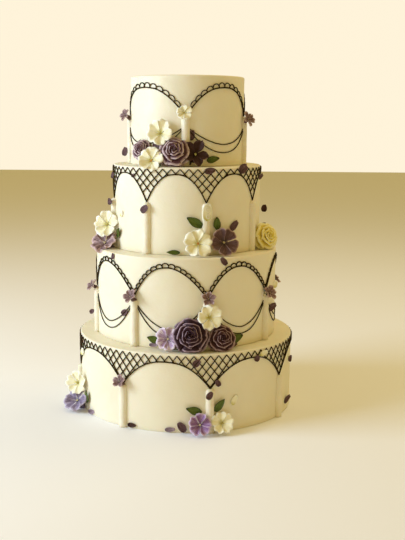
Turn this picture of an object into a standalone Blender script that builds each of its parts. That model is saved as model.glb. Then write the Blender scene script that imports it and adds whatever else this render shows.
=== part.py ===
"""Tiered wedding cake: four round iced tiers, piped columns, arches, nets and swags, sugar flowers and leaves.

Metres, +Z up. The underside of the bottom tier lies on Z = 0 and the tiers' common axis is the Z axis.
Azimuths are in degrees round that axis: 0 faces -Y, the side that the photograph shows, and +90 faces +X.
"""

import math
import random

import bmesh
import bpy
from mathutils import Matrix, Vector
from mathutils.geometry import delaunay_2d_cdt

# Clearance between neighbouring solids, and the numbers of sides of the round shapes.
GAP = 0.0003
WALL_SIDES = 56
COLUMN_SIDES = 8
DOME_RINGS = 1
EDGE_RADIUS = 0.0026

# Rings of the rounded top edge, as shares of its radius: inward and up.
TWO_RINGS = ((0.29, 0.71), (1.0, 1.0))
ONE_RING = ((0.7, 1.0),)
EDGE_RINGS = (ONE_RING, ONE_RING, ONE_RING, TWO_RINGS)

# Tiers, from the bottom up: 12, 10, 8 and 6 inch tins under 6 mm of icing.
RADIUS = (0.1583, 0.1329, 0.1075, 0.0821)
FOOT = (0.0, 0.1102, 0.2364, 0.3566)
TOP = (0.1102, 0.2364, 0.3566, 0.4807)
TIER_NODES = ("tier_bottom", "tier_second", "tier_third", "tier_top")

# Columns: half-round piped strips with domed tops, one at each foot of an arch.
COLUMN_WIDTH = 0.0125
COLUMN_RISE = 0.0058
COLUMN_TOP = (0.0620, 0.0665, 0.0720, 0.0690)
BAYS = (8, 8, 8, 4)
FIRST_COLUMN = (12.2, 12.7, 14.3, -1.5)
TOP_COLUMNS = (-1.5, 78.0, 173.0, 268.5)

# Arches: the drop below the tier's top edge at the crown and at the feet, and the curve's power.
CROWN_DROP = (0.0110, 0.0132, 0.0094, 0.0166)
SPRING_DROP = (0.0485, 0.0562, 0.0479, 0.0570)
ARCH_POWER = (2.35, 2.1, 2.35, 2.4)
ARCH_LEAN = (0.0, 0.09, 0.0, 0.0)

# Swags: pairs of thin lines that hang between the columns of the second and the top tier.
SWAG_TIERS = (1, 3)
SWAG_START = {1: 0.0648, 3: 0.0556}
SWAG_LOW = {1: (0.0278, 0.0180), 3: (0.0302, 0.0191)}
SWAG_POWER = (1.87, 2.15)
BAY_STEPS = {1: 8, 3: 10}

# Nets: crossing strands between the top edge and the arches of the bottom and the third tier.
NET_TIERS = (0, 2)
NET_CELLS = {0: 11, 2: 7}
NET_TALL = {0: 0.0146, 2: 0.0130}
NET_TOP_DROP = 0.0012

# Piped lines: how far they stand out of the wall, and half their width.
LINE_RISE = 0.0011
NET_RISE = 0.0012
LINE_HALF = 0.0011

# Flowers: node, kind, colour, tier, azimuth, height above the tier's foot, diameter, stand-off of the
# middle from the wall, lift of the face above the horizon, and turn of the face towards larger azimuths.
FLOWERS = (
    ("blossom_top_low", "blossom", "ivory", 3, -28.4, 0.0090, 0.0400, 0.0215, 22, 12),
    ("rose_top", "rose", "plum", 3, -11.0, 0.0215, 0.0430, 0.0125, 26, 4),
    ("blossom_top_high", "blossom", "ivory", 3, -24.3, 0.0455, 0.0400, 0.0088, 14, 10),
    ("blossom_top_dark", "blossom", "dark", 3, 7.3, 0.0178, 0.0420, 0.0085, 22, 4),
    ("rosebud_top", "rose", "plum", 3, -44.5, 0.0225, 0.0290, 0.0092, 24, 16),
    ("posy_top_front", "posy", "ivory", 3, -2.5, 0.0735, 0.0240, 0.0098, 26, 0),
    ("posy_top_left", "posy", "plum", 3, -82.5, 0.0700, 0.0205, 0.0088, 26, 30),
    ("posy_top_right", "posy", "plum", 3, 74.5, 0.0655, 0.0240, 0.0088, 26, -25),
    ("posy_top_back", "posy", "plum", 3, 173.0, 0.0720, 0.0205, 0.0088, 28, 0),
    ("rose_top_back", "rose", "plum", 3, 163.0, 0.0205, 0.0380, 0.0115, 26, 6),
    ("blossom_top_back", "blossom", "ivory", 3, 138.0, 0.0200, 0.0370, 0.0095, 22, 0),
    ("blossom_third_ivory", "blossom", "ivory", 2, 7.7, 0.0185, 0.0425, 0.0098, 20, -6),
    ("blossom_third_plum", "blossom", "plum", 2, 26.2, 0.0185, 0.0420, 0.0100, 20, -14),
    ("blossom_third_left", "blossom", "ivory", 2, -73.0, 0.0342, 0.0420, 0.0135, 14, 48),
    ("blossom_third_left_plum", "blossom", "plum", 2, -71.5, 0.0090, 0.0460, 0.0175, 46, 40),
    ("rose_third_right", "rose", "ivory", 2, 71.5, 0.0190, 0.0400, 0.0155, 20, -34),
    ("rose_third_back", "rose", "plum", 2, 196.0, 0.0200, 0.0375, 0.0115, 24, 0),
    ("blossom_third_back", "blossom", "ivory", 2, 215.0, 0.0190, 0.0380, 0.0095, 22, -6),
    ("rose_second_dark", "rose", "dark", 1, 2.3, 0.0230, 0.0475, 0.0145, 22, -4),
    ("blossom_second_ivory", "blossom", "ivory", 1, 13.0, 0.0465, 0.0385, 0.0092, 14, -4),
    ("rose_second_plum", "rose", "plum", 1, 19.9, 0.0170, 0.0375, 0.0125, 24, -4),
    ("blossom_second_lilac", "blossom", "lilac", 1, -9.8, 0.0170, 0.0360, 0.0098, 22, 4),
    ("posy_second_front", "posy", "plum", 1, 12.4, 0.0725, 0.0225, 0.0092, 30, -6),
    ("posy_second_front_left", "posy", "plum", 1, -32.8, 0.0715, 0.0225, 0.0090, 40, -10),
    ("posy_second_right", "posy", "plum", 1, 57.3, 0.0695, 0.0230, 0.0090, 34, -20),
    ("posy_second_left", "posy", "plum", 1, -78.3, 0.0700, 0.0205, 0.0088, 32, 20),
    ("posy_second_back_right", "posy", "plum", 1, 102.7, 0.0710, 0.0205, 0.0088, 32, 0),
    ("posy_second_back_mid", "posy", "plum", 1, 147.7, 0.0710, 0.0215, 0.0088, 32, 0),
    ("posy_second_back_left", "posy", "plum", 1, 237.7, 0.0710, 0.0205, 0.0088, 32, 0),
    ("rose_second_back", "rose", "dark", 1, 168.0, 0.0225, 0.0430, 0.0140, 22, -4),
    ("blossom_second_back", "blossom", "ivory", 1, 184.5, 0.0190, 0.0370, 0.0095, 22, 4),
    ("blossom_foot_lilac", "blossom", "lilac", 0, 6.9, 0.0152, 0.0355, 0.0098, 33, -4),
    ("blossom_foot_ivory", "blossom", "ivory", 0, 17.4, 0.0155, 0.0350, 0.0092, 30, -8),
    ("blossom_foot_left", "blossom", "ivory", 0, -69.2, 0.0400, 0.0370, 0.0112, 16, 38),
    ("blossom_foot_left_lilac", "blossom", "lilac", 0, -67.2, 0.0158, 0.0410, 0.0135, 38, 36),
    ("posy_foot_front_left", "posy", "plum", 0, -32.8, 0.0670, 0.0210, 0.0090, 34, 0),
    ("blossom_foot_back", "blossom", "ivory", 0, 143.0, 0.0160, 0.0345, 0.0095, 30, -4),
    ("rose_foot_back", "rose", "plum", 0, 156.0, 0.0175, 0.0345, 0.0115, 26, 4),
)

# Leaves: node, tier, azimuth and height of the base, length, width, and heading of the tip, which is
# measured from straight up towards larger azimuths.
LEAVES = (
    ("leaf_top_right", 3, 19.3, 0.0080, 0.0165, 0.0095, 76),
    ("leaf_top_back", 3, 122.0, 0.0110, 0.0190, 0.0105, -62),
    ("leaf_third_high", 2, 11.4, 0.0400, 0.0245, 0.0125, -58),
    ("leaf_third_right", 2, 23.0, 0.0360, 0.0170, 0.0110, -10),
    ("leaf_third_left", 2, -66.0, 0.0170, 0.0180, 0.0110, 42),
    ("leaf_third_ledge", 2, -4.6, 0.0045, 0.0175, 0.0070, -88),
    ("leaf_second_left", 1, -15.8, 0.0105, 0.0170, 0.0105, -70),
    ("leaf_second_right", 1, 28.0, 0.0085, 0.0180, 0.0120, 62),
    ("leaf_second_back", 1, 196.5, 0.0150, 0.0190, 0.0105, 55),
    ("leaf_foot_left_low", 0, 8.0, 0.0290, 0.0220, 0.0115, -70),
    ("leaf_foot_right_high", 0, 14.6, 0.0300, 0.0215, 0.0110, 34),
    ("leaf_foot_left", 0, -62.5, 0.0135, 0.0210, 0.0120, 10),
    ("leaf_foot_back", 0, 136.0, 0.0290, 0.0200, 0.0105, -48),
)
LEAF_THICK = 0.0010

# Loose petals pressed on the icing: tier, azimuth, height above the tier's foot, length, width, heading,
# and turn of the face towards larger azimuths.
PETALS = (
    (3, 4.2, 0.0430, 0.0140, 0.0085, 10, 0),
    (3, -51.0, 0.0075, 0.0140, 0.0080, -60, 10),
    (3, -53.0, 0.0300, 0.0120, 0.0080, 40, 20),
    (2, 16.5, 0.1160, 0.0150, 0.0090, 80, 0),
    (2, 45.5, 0.1180, 0.0150, 0.0130, 60, -10),
    (2, 77.0, 0.1040, 0.0110, 0.0065, 60, -30),
    (2, -80.0, 0.1040, 0.0090, 0.0060, 20, 30),
    (2, 37.5, 0.0395, 0.0165, 0.0105, 48, 0),
    (2, -58.5, 0.0520, 0.0090, 0.0070, 30, 0),
    (1, 22.4, 0.1215, 0.0130, 0.0075, -40, 0),
    (1, -39.8, 0.0450, 0.0120, 0.0085, 60, 0),
    (1, 67.0, 0.0440, 0.0160, 0.0110, 65, -30),
    (1, 74.0, 0.0745, 0.0105, 0.0085, 20, -40),
    (1, -19.3, 0.0050, 0.0125, 0.0060, 86, 0),
    (0, 5.3, 0.0985, 0.0120, 0.0095, 50, 0),
    (0, 38.0, 0.0970, 0.0090, 0.0085, 20, -15),
    (0, 42.6, 0.1025, 0.0140, 0.0080, 75, -10),
    (0, 16.0, 0.0695, 0.0100, 0.0075, -30, 0),
    (0, 73.0, 0.0757, 0.0095, 0.0070, 10, -35),
    (0, -1.6, 0.0090, 0.0160, 0.0105, -35, 0),
    (0, -7.4, 0.0050, 0.0140, 0.0070, 84, 0),
    (0, -27.5, 0.0050, 0.0130, 0.0070, 86, 0),
    (0, -70.0, 0.0860, 0.0115, 0.0080, 20, 20),
    (0, 68.4, 0.0175, 0.0150, 0.0085, 55, -25),
    (0, 24.9, 0.0430, 0.0150, 0.0085, 30, 0),
)
PETAL_THICK = 0.0011
FLARE = 0.7
COLUMN_PETALS = (
    (3, -84.0, 0.0175, 0.0125, 0.0090, 15, 60),
    (2, 14.3, 0.0600, 0.0240, 0.0130, 5, 0),
    (2, -30.7, 0.0630, 0.0130, 0.0095, 50, 0),
    (2, -73.5, 0.0670, 0.0090, 0.0085, 0, 30),
    (2, 98.0, 0.0540, 0.0105, 0.0100, 0, -70),
    (2, 98.0, 0.0270, 0.0105, 0.0100, 0, -70),
    (1, -80.5, 0.0290, 0.0100, 0.0070, 60, 45),
    (0, 11.4, 0.0545, 0.0120, 0.0090, 30, 0),
)


def clear_scene():
    for thing in list(bpy.data.objects):
        bpy.data.objects.remove(thing, do_unlink=True)
    for group in list(bpy.data.collections):
        bpy.data.collections.remove(group)


clear_scene()
cake = bpy.data.collections.new("tiered_wedding_cake")
cutters = bpy.data.collections.new("cutters")
bpy.context.scene.collection.children.link(cake)
bpy.context.scene.collection.children.link(cutters)
cutters.hide_render = True


def new_object(name, mesh, group):
    thing = bpy.data.objects.new(name, mesh)
    group.objects.link(thing)
    if group is cutters:
        thing.hide_render = True
        thing.display_type = "WIRE"
    return thing


def from_bmesh(name, bm, group):
    bmesh.ops.recalc_face_normals(bm, faces=bm.faces)
    mesh = bpy.data.meshes.new(name)
    bm.to_mesh(mesh)
    bm.free()
    return new_object(name, mesh, group)


def material(name, colour, roughness):
    made = bpy.data.materials.new(name)
    made.use_nodes = True
    shader = made.node_tree.nodes["Principled BSDF"]
    shader.inputs["Base Color"].default_value = (*colour, 1.0)
    shader.inputs["Roughness"].default_value = roughness
    made.diffuse_color = (*colour, 1.0)
    return made


def outward(azimuth):
    angle = math.radians(azimuth)
    return Vector((math.sin(angle), -math.cos(angle), 0.0))


def sideways(azimuth):
    angle = math.radians(azimuth)
    return Vector((math.cos(angle), math.sin(angle), 0.0))


def wall_point(radius, azimuth, height):
    return outward(azimuth) * radius + Vector((0.0, 0.0, height))


def wall_frame(azimuth, origin):
    """A frame on the wall: X sideways, Y up the wall, Z outward."""
    side = sideways(azimuth)
    out = outward(azimuth)
    return Matrix((
        (side.x, 0.0, out.x, origin.x),
        (side.y, 0.0, out.y, origin.y),
        (0.0, 1.0, 0.0, origin.z),
        (0.0, 0.0, 0.0, 1.0),
    ))


def combine(target, group, operation, solver):
    """One Boolean of the target with a whole collection, applied, and the collection's objects removed."""
    modifier = target.modifiers.new("combine", "BOOLEAN")
    modifier.operation = operation
    modifier.operand_type = "COLLECTION"
    modifier.collection = group
    modifier.solver = solver
    bpy.context.view_layer.update()
    graph = bpy.context.evaluated_depsgraph_get()
    mesh = bpy.data.meshes.new_from_object(target.evaluated_get(graph))
    target.modifiers.clear()
    target.data = mesh


def cut_with(target, other, solver):
    modifier = target.modifiers.new("cut", "BOOLEAN")
    modifier.operation = "DIFFERENCE"
    modifier.object = other
    modifier.solver = solver
    bpy.context.view_layer.update()
    graph = bpy.context.evaluated_depsgraph_get()
    mesh = bpy.data.meshes.new_from_object(target.evaluated_get(graph))
    target.modifiers.clear()
    target.data = mesh


def keep_largest(thing):
    """Drops the scraps that a cut leaves beside the piece itself."""
    bm = bmesh.new()
    bm.from_mesh(thing.data)
    bmesh.ops.remove_doubles(bm, verts=bm.verts, dist=0.000002)
    left = set(bm.verts)
    islands = []
    while left:
        stack = [left.pop()]
        island = set(stack)
        while stack:
            vert = stack.pop()
            for edge in vert.link_edges:
                other = edge.other_vert(vert)
                if other in left:
                    left.discard(other)
                    island.add(other)
                    stack.append(other)
        islands.append(island)
    islands.sort(key=len, reverse=True)
    for island in islands[1:]:
        bmesh.ops.delete(bm, geom=list(island), context="VERTS")
    bmesh.ops.triangulate(bm, faces=bm.faces)
    bm.to_mesh(thing.data)
    bm.free()


# Columns: a cylinder half sunk in the wall, with a domed top.
def column_azimuths(index):
    if BAYS[index] == len(TOP_COLUMNS):
        return list(TOP_COLUMNS)
    return [FIRST_COLUMN[index] + bay * 360.0 / BAYS[index] for bay in range(BAYS[index])]


def bay_azimuth(index, bay, share):
    """Azimuth at a share of the way from a bay's column to the next one."""
    columns = column_azimuths(index)
    following = columns[(bay + 1) % len(columns)]
    return columns[bay] + (following - columns[bay]) % 360.0 * share


def tier_columns(name, index, grow, group):
    bm = bmesh.new()
    for azimuth in column_azimuths(index):
        part = bmesh.new()
        floor = FOOT[index] + GAP - grow if index > 0 else -grow
        tall = FOOT[index] + COLUMN_TOP[index] + grow - floor
        made = bmesh.ops.create_cone(
            part,
            cap_ends=True,
            segments=COLUMN_SIDES,
            radius1=1.0,
            radius2=1.0,
            depth=tall,
        )
        bmesh.ops.scale(part, vec=(COLUMN_WIDTH / 2 + grow, COLUMN_RISE + grow, 1.0), verts=made["verts"])
        rim = [edge for edge in part.edges if all(vert.co.z > 0.0 for vert in edge.verts)]
        bmesh.ops.bevel(
            part,
            geom=rim,
            offset=0.0044,
            segments=DOME_RINGS,
            profile=0.5,
            affect="EDGES",
            material=-1,
        )
        place = Matrix.Translation(wall_point(RADIUS[index], azimuth, floor + tall / 2.0))
        turn = Matrix.Rotation(math.radians(azimuth), 4, "Z")
        bmesh.ops.transform(part, matrix=place @ turn, verts=part.verts)
        copy = bpy.data.meshes.new("column")
        part.to_mesh(copy)
        part.free()
        bm.from_mesh(copy)
        bpy.data.meshes.remove(copy)
    return from_bmesh(name, bm, group)


# Tier walls: one bay is drawn flat (X along the wall, Y up it), triangulated, rolled up and repeated.
class Sheet:
    """Points of a bay with their relief, and the lines that its triangles keep to."""

    def __init__(self, index):
        self.index = index
        self.wide = 2.0 * math.pi * RADIUS[index] / BAYS[index]
        self.tall = TOP[index] - FOOT[index]
        self.points = []
        self.relief = []
        self.edges = []

    def point(self, x, y, relief):
        self.points.append(Vector((x, y)))
        self.relief.append(relief)
        return len(self.points) - 1

    def line(self, places, relief):
        made = [self.point(x, y, relief) for x, y in places]
        self.edges.extend(zip(made, made[1:]))

    def triangles(self):
        places, _, faces, sources, _, _ = delaunay_2d_cdt(self.points, self.edges, [], 0, 0.00002)
        relief = []
        for source in sources:
            relief.append(max((self.relief[number] for number in source), default=LINE_RISE))
        return places, relief, faces


def arch_height(sheet, x):
    """Height of the arch's line above the tier's foot, with its crown in the middle of the bay."""
    index = sheet.index
    share = 2.0 * x / sheet.wide - 1.0
    share = abs(share + ARCH_LEAN[index] * (1.0 - share * share))
    rise = SPRING_DROP[index] - CROWN_DROP[index]
    return sheet.tall - CROWN_DROP[index] - rise * min(1.0, share) ** ARCH_POWER[index]


def swag_height(sheet, x, low, power):
    """Height of a swag's line above the tier's foot, lowest in the middle of the bay."""
    start = SWAG_START[sheet.index]
    share = abs(2.0 * x / sheet.wide - 1.0)
    return low + (start - low) * share ** power


def flank(places, number):
    """How far above or below a line's point its edge lies: more where it is steep, and alike at both ends."""
    last = len(places) - 1
    spans = ((0, 1), (last - 1, last)) if number in (0, last) else ((number - 1, number + 1),)
    slopes = [abs(places[b][1] - places[a][1]) / (places[b][0] - places[a][0]) for a, b in spans]
    return LINE_HALF * math.hypot(1.0, sum(slopes) / len(slopes))


def draw_net(sheet):
    """Crossing strands from the peaks below the rim down to the arch, with each mesh sunk in its middle."""
    index = sheet.index
    cells = NET_CELLS[index]
    half_wide = sheet.wide / cells / 2.0
    half_tall = NET_TALL[index] / 2.0
    peak = sheet.tall - EDGE_RADIUS - NET_TOP_DROP
    rows = int(0.06 / half_tall)

    def place(i, j):
        return i * half_wide, peak - j * half_tall

    def inside(x, y):
        return y > arch_height(sheet, x) + 0.0010

    feet = []
    seam = [sheet.tall - EDGE_RADIUS, arch_height(sheet, 0.0), 0.0]
    for j in range(rows):
        for i in range(2 * cells + 1):
            x, y = place(i, j)
            if (i + j) % 2 == 0:
                if j == 0:
                    continue
                if inside(x, y - 0.0012):
                    sheet.point(x, y, 0.0)
                    if i == 0:
                        seam.append(y)
                elif inside(x, y + half_tall * 0.6):
                    low = arch_height(sheet, x)
                    sheet.point(x, (low + y + half_tall) / 2.0, 0.0)
                continue
            if not inside(x, y):
                continue
            if i == 0:
                seam.append(y)
            for side in (-1, 1):
                if not 0 <= i + side <= 2 * cells:
                    continue
                end_x, end_y = place(i + side, j + 1)
                if inside(end_x, end_y):
                    sheet.line(((x, y), (end_x, end_y)), NET_RISE)
                    continue
                above = 0.0
                below = 1.0
                for _ in range(24):
                    middle = (above + below) / 2.0
                    mid_x = x + (end_x - x) * middle
                    mid_y = y + (end_y - y) * middle
                    if mid_y > arch_height(sheet, mid_x):
                        above = middle
                    else:
                        below = middle
                foot = (x + (end_x - x) * above, y + (end_y - y) * above)
                sheet.line(((x, y), foot), NET_RISE)
                feet.append(foot)
    feet.sort()
    arch = [(0.0, arch_height(sheet, 0.0))]
    for foot in feet + [(sheet.wide, arch_height(sheet, 0.0))]:
        gap = foot[0] - arch[-1][0]
        if gap < 0.00001:
            continue
        if gap > 0.0075:
            x = (foot[0] + arch[-1][0]) / 2.0
            arch.append((x, arch_height(sheet, x)))
        arch.append(foot)
    sheet.line(arch, LINE_RISE)
    edge = [(x, y - flank(arch, number)) for number, (x, y) in enumerate(arch)]
    edge = edge[:1] + edge[2:-2:2] + edge[-1:]
    sheet.line(edge, 0.0)
    sheet.line([(x, 0.0) for x, _ in edge], 0.0)
    for x, y in edge[1:-1]:
        sheet.line(((x, y), (x, 0.0)), 0.0)
    rim = [(cell * sheet.wide / cells, sheet.tall - EDGE_RADIUS) for cell in range(cells + 1)]
    sheet.line(rim, 0.0)
    return seam + [edge[0][1]]


def draw_swags(sheet):
    """An arch line, and two lines that hang from the columns' sides under it and part downwards."""
    index = sheet.index
    steps = BAY_STEPS[index]
    rows = []
    arch = []
    swags = [[] for _ in SWAG_LOW[index]]
    for step in range(steps + 1):
        # The points lie closer together towards the columns, where the lines are steep.
        share = math.sin((step / steps - 0.5) * math.pi * 0.90) / math.sin(math.pi * 0.45)
        x = (share + 1.0) / 2.0 * sheet.wide
        arch.append((x, arch_height(sheet, x)))
        for places, low, power in zip(swags, SWAG_LOW[index], SWAG_POWER):
            places.append((x, swag_height(sheet, x, low, power)))
    inner, outer = swags
    for places in (arch, inner, outer):
        sheet.line(places, LINE_RISE)
    rows.append([(x, sheet.tall - EDGE_RADIUS) for x, _ in arch])
    rows.append([(x, y + flank(arch, number)) for number, (x, y) in enumerate(arch)])
    rows.append([(x, y - flank(arch, number)) for number, (x, y) in enumerate(arch)])
    rows.append([(x, y + flank(inner, number)) for number, (x, y) in enumerate(inner)])
    rows.append([(x, y - flank(outer, number)) for number, (x, y) in enumerate(outer)])
    rows.append([(x, 0.0) for x, _ in arch])
    for row in rows:
        sheet.line(row, 0.0)
    for upper, lower in ((0, 1), (2, 3), (4, 5)):
        for high, deep in list(zip(rows[upper], rows[lower]))[1:-1]:
            sheet.line((high, deep), 0.0)
    for number, (high, deep) in enumerate(zip(inner, outer)):
        if high[1] - deep[1] > 2.0 * LINE_HALF and 0 < number < steps:
            sheet.point(high[0], (high[1] + deep[1]) / 2.0, 0.0)
    return [row[0][1] for row in rows] + [arch[0][1], inner[0][1]]


def tier_body(name, index, group):
    sheet = Sheet(index)
    seam = sorted(draw_net(sheet) if index in NET_TIERS else draw_swags(sheet))
    for x in (0.0, sheet.wide):
        made = [sheet.point(x, y, 0.0) for y in seam]
        sheet.edges.extend(zip(made, made[1:]))
    places, relief, faces = sheet.triangles()
    floor = FOOT[index] + (GAP if index > 0 else 0.0)
    bm = bmesh.new()
    for bay in range(BAYS[index]):
        made = []
        for place, rise in zip(places, relief):
            azimuth = bay_azimuth(index, bay, place.x / sheet.wide)
            height = max(floor, FOOT[index] + place.y)
            made.append(bm.verts.new(wall_point(RADIUS[index] + rise, azimuth, height)))
        for face in faces:
            bm.faces.new([made[number] for number in face])
    bmesh.ops.remove_doubles(bm, verts=bm.verts, dist=0.00001)
    brink = TOP[index] - EDGE_RADIUS
    for inset, up in EDGE_RINGS[index]:
        rim = [edge for edge in bm.edges if edge.is_boundary and edge.verts[0].co.z > FOOT[index] + 0.05]
        made = bmesh.ops.extrude_edge_only(bm, edges=rim)
        for vert in made["geom"]:
            if not isinstance(vert, bmesh.types.BMVert):
                continue
            out = Vector((vert.co.x, vert.co.y, 0.0)).normalized()
            vert.co = out * (RADIUS[index] - inset * EDGE_RADIUS) + Vector((0.0, 0.0, brink + up * EDGE_RADIUS))
    bmesh.ops.holes_fill(bm, edges=[edge for edge in bm.edges if edge.is_boundary], sides=0)
    return from_bmesh(name, bm, group)


# Clear shapes: a tier's plain outline, grown by the clearance that flowers and leaves keep from it.
def clear_shape(name, index, grow):
    low = FOOT[index] - 0.02
    high = TOP[index] + GAP
    bm = bmesh.new()
    bmesh.ops.create_cone(
        bm,
        cap_ends=True,
        segments=WALL_SIDES,
        radius1=(RADIUS[index] + grow) / math.cos(math.pi / WALL_SIDES),
        radius2=(RADIUS[index] + grow) / math.cos(math.pi / WALL_SIDES),
        depth=high - low,
        matrix=Matrix.Translation((0.0, 0.0, (high + low) / 2.0)),
    )
    shape = from_bmesh(name, bm, cutters)
    beside_it = bpy.data.collections.new("beside_it")
    bpy.context.scene.collection.children.link(beside_it)
    tier_columns("clear_columns", index, GAP, beside_it)
    combine(shape, beside_it, "UNION", "MANIFOLD")
    for leftover in list(beside_it.objects):
        bpy.data.objects.remove(leftover, do_unlink=True)
    bpy.data.collections.remove(beside_it)
    return shape


# Loose petals: low six-sided domes, half sunk in the icing.
def loose_petals(name, index, group):
    bm = bmesh.new()
    for row in PETALS + COLUMN_PETALS:
        if row[0] != index:
            continue
        stand = COLUMN_RISE if row in COLUMN_PETALS else 0.0
        part = bmesh.new()
        bmesh.ops.create_cone(part, segments=6, cap_ends=True, radius1=1.0, radius2=0.0, depth=2.0)
        bmesh.ops.scale(part, vec=(row[4] / 2.0, row[3] / 2.0, PETAL_THICK), verts=part.verts)
        turn = math.radians(row[6])
        flared = row[4] / 2.0 * abs(math.sin(turn)) * FLARE
        origin = wall_point(RADIUS[index] + stand + PETAL_THICK * 0.4 + flared, row[1], FOOT[index] + row[2])
        swing = Matrix.Rotation(turn, 4, "Y")
        spin = Matrix.Rotation(-math.radians(row[5]), 4, "Z")
        bmesh.ops.transform(part, matrix=wall_frame(row[1], origin) @ swing @ spin, verts=part.verts)
        copy = bpy.data.meshes.new("petal")
        part.to_mesh(copy)
        part.free()
        bm.from_mesh(copy)
        bpy.data.meshes.remove(copy)
    return from_bmesh(name, bm, group)


# Flowers: discs with petal lobes, cupped or ridged faces and a conical back that reaches the icing.
def radial_body(rings, back, sides):
    """A closed body from rings of (radius, height) functions of the angle, round the Z axis."""
    bm = bmesh.new()
    previous = None
    middle = bm.verts.new((0.0, 0.0, rings[0][1](0.0)))
    for radius, height in rings[1:] + back:
        ring = []
        for side in range(sides):
            angle = 2.0 * math.pi * side / sides
            reach = radius(angle)
            ring.append(bm.verts.new((reach * math.cos(angle), reach * math.sin(angle), height(angle))))
        for side in range(sides):
            following = (side + 1) % sides
            if previous is None:
                bm.faces.new((middle, ring[side], ring[following]))
            else:
                bm.faces.new((previous[side], ring[side], ring[following]))
                bm.faces.new((previous[side], ring[following], previous[following]))
        previous = ring
    bm.faces.new(list(reversed(previous)))
    return bm


def lobes(petals, depth, phase):
    """Petal outline: 1 in the middle of a petal, lower by the depth in the notches between them."""
    def reach(angle):
        wave = abs(math.cos(petals * (angle - phase) / 2.0))
        return 1.0 - depth * (1.0 - wave ** 0.7)
    return reach


def flower_body(kind, diameter, reach_back, dice):
    size = diameter / 2.0
    phase = dice.uniform(0.0, 1.2)
    if kind == "blossom":
        outline = lobes(5, 0.26, phase)
        uneven = [dice.uniform(-0.05, 0.05) for _ in range(5)]

        def lift(angle):
            petal = int(((angle - phase) / (2.0 * math.pi) * 5.0 + 0.5) % 5)
            return uneven[petal]

        rings = [
            (None, lambda a: -0.16 * size),
            (lambda a: 0.62 * size * (0.5 + 0.5 * outline(a)), lambda a: (0.04 + 0.5 * lift(a)) * size),
            (lambda a: size * outline(a), lambda a: (0.20 + lift(a)) * size),
        ]
        sides = 15
        underside = 0.10
    elif kind == "rose":
        swirl = [dice.uniform(-0.04, 0.04) for _ in range(6)]

        def ridge(count, turn):
            return lambda a: abs(math.sin(count * a / 2.0 + turn))

        outer = ridge(5, phase)
        inner = ridge(3, phase + 0.8)
        rings = [
            (None, lambda a: 0.40 * size),
            (lambda a: (0.42 + 0.04 * inner(a)) * size, lambda a: (0.22 + 0.16 * inner(a)) * size),
            (lambda a: (0.68 + 0.04 * outer(a)) * size, lambda a: (0.30 + 0.10 * outer(a)) * size),
            (lambda a: (0.88 + 0.12 * outer(a)) * size, lambda a: (0.10 + swirl[0]) * size),
        ]
        sides = 10
        underside = 0.08
    else:
        outline = lobes(5, 0.22, phase)
        rings = [
            (None, lambda a: 0.04 * size),
            (lambda a: size * outline(a), lambda a: 0.30 * size),
        ]
        sides = 10
        underside = 0.14
    rim_radius, rim_height = rings[-1]
    back = [
        (lambda a: 0.46 * size, lambda a: -reach_back),
    ]
    return radial_body(rings, back, sides)


def flower_matrix(index, azimuth, height, stand, lift, turn):
    origin = wall_point(RADIUS[index] + stand, azimuth, FOOT[index] + height)
    swing = Matrix.Rotation(math.radians(turn), 4, "Y")
    raise_face = Matrix.Rotation(-math.radians(lift), 4, "X")
    return wall_frame(azimuth, origin) @ swing @ raise_face


def level_foot(bm):
    """Cuts a flower off flat just above the cake's underside."""
    everything = bm.verts[:] + bm.edges[:] + bm.faces[:]
    made = bmesh.ops.bisect_plane(
        bm,
        geom=everything,
        dist=0.000001,
        plane_co=(0.0, 0.0, GAP),
        plane_no=(0.0, 0.0, 1.0),
        clear_inner=True,
    )
    rim = [item for item in made["geom_cut"] if isinstance(item, bmesh.types.BMEdge)]
    if rim:
        bmesh.ops.contextual_create(bm, geom=rim)


def swollen(thing, grow, name):
    """A copy whose surface stands off the original by the clearance."""
    bm = bmesh.new()
    bm.from_mesh(thing.data)
    bm.normal_update()
    moved = [(vert, vert.co + vert.normal * grow * 1.5) for vert in bm.verts]
    for vert, place in moved:
        vert.co = place
    return from_bmesh(name, bm, cutters)


# Leaves: thin wavy blades that follow the wall, split alike on both faces.
def leaf_body(index, azimuth, height, length, width, heading):
    bm = bmesh.new()
    rows = 3
    bmesh.ops.create_grid(bm, x_segments=2, y_segments=rows, size=0.5)
    turn = math.radians(heading)
    radius = RADIUS[index]
    for vert in bm.verts:
        along = vert.co.y + 0.5
        across = vert.co.x * 2.0
        half = width / 2.0 * max(0.10, math.sin(math.pi * min(1.0, along * 0.94 + 0.04)) ** 0.8)
        crease = 0.0009 * abs(across)
        wave = 0.0005 * math.sin(along * 9.0) * across
        over_lines = (LINE_RISE + GAP) * min(1.0, 2.0 * along) if index in SWAG_TIERS else 0.0
        out = 2.0 * GAP + LEAF_THICK + crease + wave + over_lines + 0.0030 * along ** 2
        x = across * half
        y = along * length
        side = x * math.cos(turn) + y * math.sin(turn)
        up = -x * math.sin(turn) + y * math.cos(turn)
        vert.co = wall_point(radius + out, azimuth + math.degrees(side / radius), FOOT[index] + height + up)
    bmesh.ops.triangulate(bm, faces=bm.faces)
    bmesh.ops.recalc_face_normals(bm, faces=bm.faces)
    facing = sum((face.normal.dot(outward(azimuth)) for face in bm.faces))
    if facing < 0.0:
        bmesh.ops.reverse_faces(bm, faces=bm.faces)
    bmesh.ops.solidify(bm, geom=bm.faces[:], thickness=LEAF_THICK)
    return bm


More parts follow.
